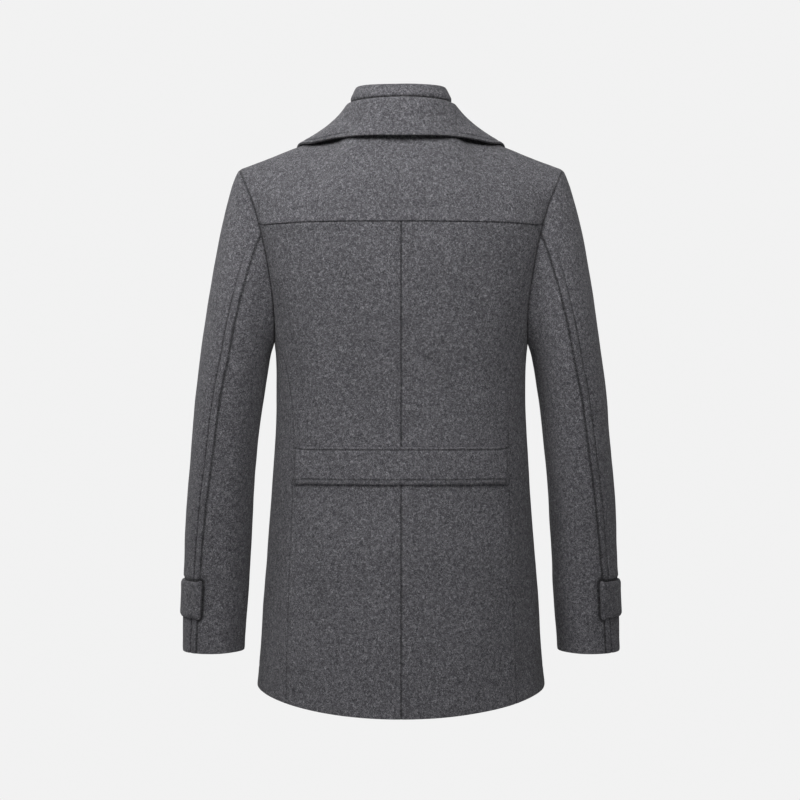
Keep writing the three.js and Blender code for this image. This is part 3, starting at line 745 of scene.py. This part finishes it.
def walled(bm, thickness):
    """Gives a sheet its wall: a copy inside it along the same normals, joined all round."""
    outward = bm.verts.layers.float_vector["outward"]
    border = [e for e in bm.edges if e.is_boundary]
    copy = bmesh.ops.duplicate(bm, geom=bm.verts[:] + bm.edges[:] + bm.faces[:])
    inner = [g for g in copy["geom"] if isinstance(g, bmesh.types.BMVert)]
    for vertex in inner:
        vertex.co -= vertex[outward] * thickness
    inner_edges = [g for g in copy["geom"] if isinstance(g, bmesh.types.BMEdge)]
    inner_border = [e for e in inner_edges if e.is_boundary]
    inner_faces = [g for g in copy["geom"] if isinstance(g, bmesh.types.BMFace)]
    bmesh.ops.reverse_faces(bm, faces=inner_faces)
    bmesh.ops.bridge_loops(bm, edges=border + inner_border)
    bmesh.ops.recalc_face_normals(bm, faces=bm.faces)


def finish_cloth(name, bm, rows, thickness, puff=0.0, covered=()):
    """Gives a sheet its seams' shape, its rows, its wall and its rounded edges, and the distances
    that its painted seam and row shade are drawn from.
    rows are (line, inset, depth, share of the depth and of the painted groove shade at a point,
    whether its stitches show).
    puff is how far the border of a doubled piece rolls in.
    covered are the edges of a piece that presses on this one; the cloth sinks under them and gets
    painted shadow along them."""
    outward = bm.verts.layers.float_vector["outward"]
    seam_shade_layer = bm.verts.layers.float.new("seam_shade_distance")
    row_layer = bm.verts.layers.float.new("row_offset")
    points = [v.co.copy() for v in bm.verts]
    flat_sheet = BVHTree.FromBMesh(bm)
    edge = near_edge(points, edge_lines(name, bm))
    offsets = np.ones(len(points))
    sink = np.zeros(len(points))
    if covered:
        under = np.array(distances(points, covered)) - PRESS_HEIGHT
        sink = PRESS_DEPTH * np.exp(-((np.maximum(under, 0) / PRESS_WIDTH) ** 2))
        sink -= PRESS_DEPTH * 0.5 * np.exp(-(((under - RIM_AWAY) / RIM_WIDTH) ** 2))
        # painted shadow along the covering piece's edges, through the seam shade distance
        edge = np.minimum(edge, np.maximum(under * 1.3 - 0.0006, 0))
    for line, inset, depth, share, _ in rows:
        offset = np.abs(np.array(distances(points, [evened(line)])) - inset)
        held = np.array([share(p) for p in points])
        sink = np.maximum(sink, depth * held * np.exp(-((offset / ROW_WIDTH) ** 2)))
        offsets = np.minimum(offsets, offset + 0.003 * (1 - held))
    for vertex, far, point, deep, offset in zip(bm.verts, edge, points, sink, offsets):
        swell = smoothstep(0, 0.004, far)
        swell *= 1 - smoothstep(ALLOWANCE * 0.6, ALLOWANCE * 1.5, far)
        pucker = noise.noise(point * 75) * (1 - smoothstep(0.002, 0.02, far))
        dip = 1 - smoothstep(0, 0.003, far)
        pillow = (1 - smoothstep(0, PILLOW_REACH, far - FREE_EDGE)) ** 2
        move = SEAM_SWELL * swell + SEAM_PUCKER * pucker - SEAM_DIP * dip - deep - puff * pillow
        vertex.co += vertex[outward] * move
        # the distance that the painted seam shade is drawn from
        vertex[seam_shade_layer] = far
        vertex[row_layer] = offset
    for line, inset, _, _, sewn in rows:
        if sewn:
            sew_row(bm, flat_sheet, line, inset, name)
    walled(bm, thickness)
    for face in bm.faces:
        face.smooth = True
    piece = add_object(name + "_cloth", as_mesh(bm, name))
    piece.data.materials.clear()
    piece.data.materials.append(wool)
    rounded = piece.modifiers.new("edges", "BEVEL")
    rounded.limit_method = "ANGLE"
    rounded.angle_limit = math.radians(48)
    rounded.width = EDGE_ROUND
    rounded.segments = 3
    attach(piece, "root")
    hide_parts(name)
    return piece


coat = sewn_coat()
shape_cloth(coat, CREASES)
cut = {name: cut_panel(coat, index) for index, name in enumerate(PANELS)}
keys = {name: border_keys(bm) for name, bm in cut.items()}


def shared_seam(name, other, at_back=None):
    """The line where two panels are sewn together."""
    both = keys[name] & keys[other]
    lines = border_lines(cut[name], lambda a, b: key_of(a) in both and key_of(b) in both)
    if at_back is not None:
        lines.sort(key=lambda line: sum(p.y for p in line) / len(line), reverse=at_back)
    return max(lines, key=len) if at_back is None else lines[0]


def everywhere(point):
    return 1.0


def softly(point):
    return 0.5


def below_shoulder(point):
    return 0.5 + 0.5 * smoothstep(0.1, 0.22, -point.z)


def faintly(point):
    return 0.4


def beside_and_in_front(point):
    return 1.0 if point.y < 0 else smoothstep(0.055, 0.09, abs(point.x))


def runs_across(a, b):
    return abs(b.z - a.z) < 0.5 * (b - a).length


def runs_up(a, b):
    return not runs_across(a, b)


def at_hem(a, b):
    return max(a.z, b.z) < cad_box[0].z + HEM_RISE and runs_across(a, b)


def at_fall(a, b):
    return min(a.to_2d().length, b.to_2d().length) > 0.08 and min(a.z, b.z) < 0.04


rows = {name: [] for name in PANELS}
for side in ("left", "right"):
    elbow = shared_seam("top_sleeve_" + side, "under_sleeve_" + side, True)
    rows["top_sleeve_" + side].append((elbow, *ELBOW_ROW, below_shoulder, True))
    refined(cut["top_sleeve_" + side], [elbow], ELBOW_FINE, SPLIT_AREA)
    refined(cut["top_sleeve_" + side], [elbow], ELBOW_FINEST[1], FINEST_AREA, ELBOW_FINEST[0])
for name in BODY_PANELS[1:]:
    hem = border_lines(cut[name], at_hem)
    refined(cut[name], hem, HEM_FINE[1], SPLIT_AREA, HEM_FINE[0])
    rows[name] += [(line, *HEM_ROW, softly, False) for line in hem]
centre_back = shared_seam("back_left", "back_right")
rows["back_left"].append((centre_back, *CENTRE_BACK_ROW, faintly, True))

yoke_seam = [shared_seam("yoke", "back_left"), shared_seam("yoke", "back_right")]
yoke_ends = [shared_seam("yoke", "top_sleeve_left"), shared_seam("yoke", "top_sleeve_right")]


def sheet_of(name, shortest, sharpest, levels):
    """A piece that lies on the coat: its own skin, rounded and softly uneven."""
    mesh = subdivided(as_mesh(outer_skin(name, shortest, sharpest), name), levels)
    shape_cloth(mesh, [])
    bm = bmesh.new()
    bm.from_mesh(mesh)
    keep_normals(bm)
    bm.verts.index_update()
    return bm


pieces = {}
for side in ("left", "right"):
    name = "cuff_tab_" + side
    bm = sheet_of(name, 0, STRIP_CORNER, 3)
    refined(bm, border_edges(bm), TAB_FINE)
    back_end = max(v.co.y for v in bm.verts)
    middle = sum(v.co.z for v in bm.verts) / len(bm.verts)
    edges = border_edges(bm)
    # the tab's top edge and back end press on the sleeve, which sinks under them and gets painted
    # shadow along them
    pressing = [ends for ends in edges if runs_across(*ends) and ends[0].z > middle]
    pressing += [ends for ends in edges if runs_up(*ends) and ends[0].y > 0]
    outward = bm.verts.layers.float_vector["outward"]
    for vertex in bm.verts:
        lift = smoothstep(back_end - TAB_LIFTED, back_end, vertex.co.y)
        vertex.co += vertex[outward] * TAB_LIFT * lift
    pieces[name] = finish_cloth(name, bm, [], BELT_WOOL * DRAWN_SHARE, TAB_PUFF)
    for sleeve in ("top_sleeve_" + side, "under_sleeve_" + side):
        refined(cut[sleeve], pressing, PRESSING_FINE, SPLIT_AREA)
        pieces[sleeve] = finish_cloth(sleeve, cut[sleeve], rows[sleeve], WOOL, covered=pressing)
lap_over(cut["yoke"], yoke_seam, yoke_ends)
for name in PANELS:
    if name not in pieces:
        pieces[name] = finish_cloth(name, cut[name], rows[name], WOOL)

collar_wall = COLLAR_WOOL * DRAWN_SHARE
bm = sheet_of("folded_collar", COLLAR_WOOL * THICK_WALL, math.pi, 3)
fall_edge = border_lines(bm, at_fall)
refined(bm, fall_edge, FALL_FINE)
collar_rows = [(line, *FALL_ROW, beside_and_in_front, False) for line in fall_edge]
pieces["folded_collar"] = finish_cloth("folded_collar", bm, collar_rows, collar_wall)

# The stand collar is pressed in where it comes out of the folded collar, along the fold's top, and
# gets painted shadow along that line
bm = sheet_of("stand_collar", COLLAR_WOOL * THICK_WALL, math.pi, 2)
refined(bm, border_edges(bm), STRIP_FINE)
turns = [math.radians(15 * step) for step in range(-6, 7)]
fold = [
    Vector((FOLD_ACROSS * math.sin(turn), FOLD_BACK * math.cos(turn), FOLD_TOP)) for turn in turns
]
fold = [list(pair) for pair in zip(fold, fold[1:])]
refined(bm, fold, FOLD_FINE, SPLIT_AREA)
refined(bm, fold, FOLD_FINEST, FINEST_AREA)
pieces["stand_collar"] = finish_cloth("stand_collar", bm, [], collar_wall, covered=fold)

bm = sheet_of("half_belt", 0, STRIP_CORNER, 3)
refined(bm, border_edges(bm), STRIP_FINE)
middle = sum(v.co.z for v in bm.verts) / len(bm.verts)
belt_rows = []
for line in border_lines(bm, runs_across):
    row = BELT_TOP_ROW if line[0].z > middle else BELT_BOTTOM_ROW
    belt_rows.append((line, *row, everywhere, True))
for line in border_lines(bm, runs_up):
    belt_rows.append((line, *BELT_END_ROW, everywhere, True))
belt_wall = BELT_WOOL * DRAWN_SHARE
pieces["half_belt"] = finish_cloth("half_belt", bm, belt_rows, belt_wall, BELT_PUFF)


# Buttons, turned on a lathe, four holes each, and the holes in the cloth that they go through
# Profile from the underside round the rim to the dish: share of the radius, share of the thickness
BUTTON_PROFILE = [
    (0, 0.02), (0.6, 0.0), (0.84, 0.04), (0.97, 0.24), (1.0, 0.46), (0.985, 0.7), (0.93, 0.9),
    (0.86, 0.99), (0.79, 1.0), (0.72, 0.94), (0.66, 0.8), (0.58, 0.68), (0.4, 0.62), (0, 0.6),
]
# A hole's distance from the button's axes and its radius, as shares of the button's radius
HOLE_ASIDE = 0.17
HOLE_RADIUS = 0.085
# Where the thread lies on the dish, as shares of the thread's width and the button's height
STRAND_ASIDE = 0.42
DISH_HEIGHT = 0.66


def turned_button(radius, height):
    """A button standing on its middle, with its four holes cut through."""
    bm = bmesh.new()
    line = [bm.verts.new((radius * r, 0, height * h)) for r, h in BUTTON_PROFILE]
    edges = [bm.edges.new(pair) for pair in zip(line, line[1:])]
    bmesh.ops.spin(
        bm, geom=line + edges, cent=(0, 0, 0), axis=(0, 0, 1), angle=math.tau, steps=40,
        use_merge=True,
    )
    bmesh.ops.remove_doubles(bm, verts=bm.verts, dist=1e-6)
    bmesh.ops.recalc_face_normals(bm, faces=bm.faces)
    button = add_object("turning", as_mesh(bm, "turning"))
    drills = bmesh.new()
    for x in (-1, 1):
        for y in (-1, 1):
            aside = radius * HOLE_ASIDE
            bmesh.ops.create_cone(
                drills, cap_ends=True, segments=14, depth=height * 2,
                radius1=radius * HOLE_RADIUS, radius2=radius * HOLE_RADIUS,
                matrix=Matrix.Translation((x * aside, y * aside, height / 2)),
            )
    drill = add_object("drills", as_mesh(drills, "drills"))
    cut_through = button.modifiers.new("holes", "BOOLEAN")
    cut_through.operation = "DIFFERENCE"
    cut_through.object = drill
    mesh = through_modifiers(button)
    bpy.data.objects.remove(drill)
    bpy.data.objects.remove(button)
    return mesh


def standing_place(node):
    """Middle of a round solid's underside, its axis, radius and height, from its own points."""
    points = np.array([v.co[:] for v in nodes[node].data.vertices])
    centre = points.mean(axis=0)
    axis = np.linalg.svd(points - centre)[2][2]
    sleeve = math.copysign(SLEEVE_AXIS, centre[0]) if abs(centre[0]) > 0.1 else 0
    if axis @ (centre - np.array((sleeve, COAT_MIDDLE, centre[2]))) < 0:
        axis = -axis
    along = (points - centre) @ axis
    across = np.linalg.norm(points - centre - along[:, None] * axis, axis=1)
    base = centre + axis * along.min()
    return Vector(base), Vector(axis), float(across.max()), float(along.max() - along.min())


def sew_button(node, owner, hole_runs):
    """A button with its thread, and the hole in the cloth that it came through."""
    base, axis, radius, height = standing_place(node)
    turn = axis.to_track_quat("Z", "Y").to_matrix().to_4x4()
    mesh = turned_button(radius, height)
    mesh.transform(Matrix.Translation(base) @ turn)
    for polygon in mesh.polygons:
        polygon.use_smooth = True
    mesh.name = node
    piece = add_object(node + "_horn", mesh)
    piece.data.materials.clear()
    piece.data.materials.append(horn)
    soft = piece.modifiers.new("edges", "EDGE_SPLIT")
    soft.split_angle = math.radians(40)
    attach(piece, "root")
    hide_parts(node)
    sideways = turn.to_3x3() @ Vector((1, 0, 0))
    upward = turn.to_3x3() @ Vector((0, 1, 0))
    strands = []
    for x in (-1, 1):
        for strand in (-1, 1):
            aside = x * radius * HOLE_ASIDE + strand * THREAD * STRAND_ASIDE
            place = base + axis * height * DISH_HEIGHT + sideways * aside
            strands.append((place, upward, axis))
    stitches(node + "_thread", strands, radius * 0.5, THREAD * 0.9)
    graph = bpy.context.evaluated_depsgraph_get()
    cloth = BVHTree.FromObject(pieces[owner], graph)
    bars = []
    run = (hole_runs - axis * hole_runs.dot(axis)).normalized()
    across = axis.cross(run)
    steps = int(radius * 1.1 / BAR_PITCH)
    for step in range(steps):
        for side in (-1, 1):
            reach = radius + 0.0006 + step * BAR_PITCH
            aim = base + run * reach + across * side * HOLE_EDGE
            landed, facing, _, _ = cloth.find_nearest(aim)
            bars.append((landed, across, facing))
    for turn_share in (0.25, 0.5, 0.75):
        swing = math.pi * turn_share
        spoke = run * math.sin(swing) + across * math.cos(swing)
        aim = base + run * (radius + steps * BAR_PITCH) + spoke * HOLE_EDGE
        landed, facing, _, _ = cloth.find_nearest(aim)
        bars.append((landed, spoke, facing))
    stitches(node + "_hole", bars, BAR_LENGTH, THREAD)


for owner, row in thread_rows.items():
    stitches(owner + "_stitches", row)
for number in range(1, 5):
    sew_button("front_button_%d" % number, "front_left", Vector((1, 0, 0)))
for side, sign in (("left", 1), ("right", -1)):
    sew_button("tab_button_" + side, "cuff_tab_" + side, Vector((sign, 1, 0)))

# What shows of each cut piece: width, length and area, and how it is held
SHEETS = {
    "yoke": (0.444, 0.19, 0.066, "hung", ["back_left", "back_right"]),
    "back": (0.195, 0.66, 0.112, "hung", ["yoke"]),
    "front": (0.40, 0.78, 0.245, "hung", ["yoke"]),
    "top_sleeve": (0.25, 0.67, 0.128, "hung", ["yoke"]),
    "under_sleeve": (0.165, 0.575, 0.0744, "hung", ["yoke"]),
    "folded_collar": (0.15, 0.70, 0.073, "folded", ["yoke"]),
    "stand_collar": (0.065, 0.41, 0.0233, "hung", ["yoke"]),
    "half_belt": (0.05, 0.31, 0.0154, "laid", ["back_left", "back_right"]),
    "cuff_tab": (0.05, 0.135, 0.0065, "laid", ["top_sleeve_left", "under_sleeve_left"]),
}
for name, piece in pieces.items():
    width, length, area, held, below = SHEETS[name.replace("_left", "").replace("_right", "")]
    if name == "cuff_tab_right":
        below = [node.replace("left", "right") for node in below]


# Floor, studio light and camera
# Each soft light's place, aim, size in metres and power in watts
LIGHTS = {
    "key": ((0.8, 0.9, 0.8), (0, 0, 0.05), 0.8, 13),
    "second_key": ((-0.3, 1.0, 0.8), (0, 0, 0.05), 0.8, 11),
    "low_fill": ((0.1, 1.8, -0.9), (0, 0, -0.4), 0.8, 4.5),
    "left_edge": ((1.1, -0.25, 0.2), (0.25, 0, -0.3), 0.5, 4.2),
    "right_edge": ((-1.1, -0.25, 0.2), (-0.25, 0, -0.3), 0.5, 2),
    "far_side": ((0.4, -2.6, 1.0), (0, 0, -0.35), 1.6, 40),
}


def lay_floor():
    bm = bmesh.new()
    bmesh.ops.create_circle(bm, cap_ends=True, segments=64, radius=FLOOR_RADIUS)
    bmesh.ops.translate(bm, vec=(0, 0, cad_box[0].z - FLOOR_DROP), verts=bm.verts)
    floor = add_object("studio_floor", as_mesh(bm, "studio_floor"))
    floor.data.materials.append(pale_floor())


def soft_light(name, place, aim, size, watts):
    data = bpy.data.lights.new(name, "AREA")
    data.shape = "SQUARE"
    data.size = size
    data.energy = watts
    light = bpy.data.objects.new(name, data)
    light.location = place
    light.rotation_euler = (Vector(aim) - Vector(place)).to_track_quat("-Z", "Y").to_euler()
    bpy.context.scene.collection.objects.link(light)


def light_studio():
    world = bpy.data.worlds.new("studio")
    world.use_nodes = True
    bpy.context.scene.world = world
    tree = world.node_tree
    background = next(n for n in tree.nodes if n.type == "BACKGROUND")
    seen = tree.nodes.new("ShaderNodeLightPath").outputs["Is Camera Ray"]
    background.inputs["Color"].default_value = (0.886, 0.886, 0.886, 1)
    tree.links.new(ranged(tree, seen, 0, 1, 0.01, 1), background.inputs["Strength"])
    for name, setting in LIGHTS.items():
        soft_light(name, *setting)


stand_camera()
lay_floor()
light_studio()
bpy.context.scene.view_settings.view_transform = "Standard"
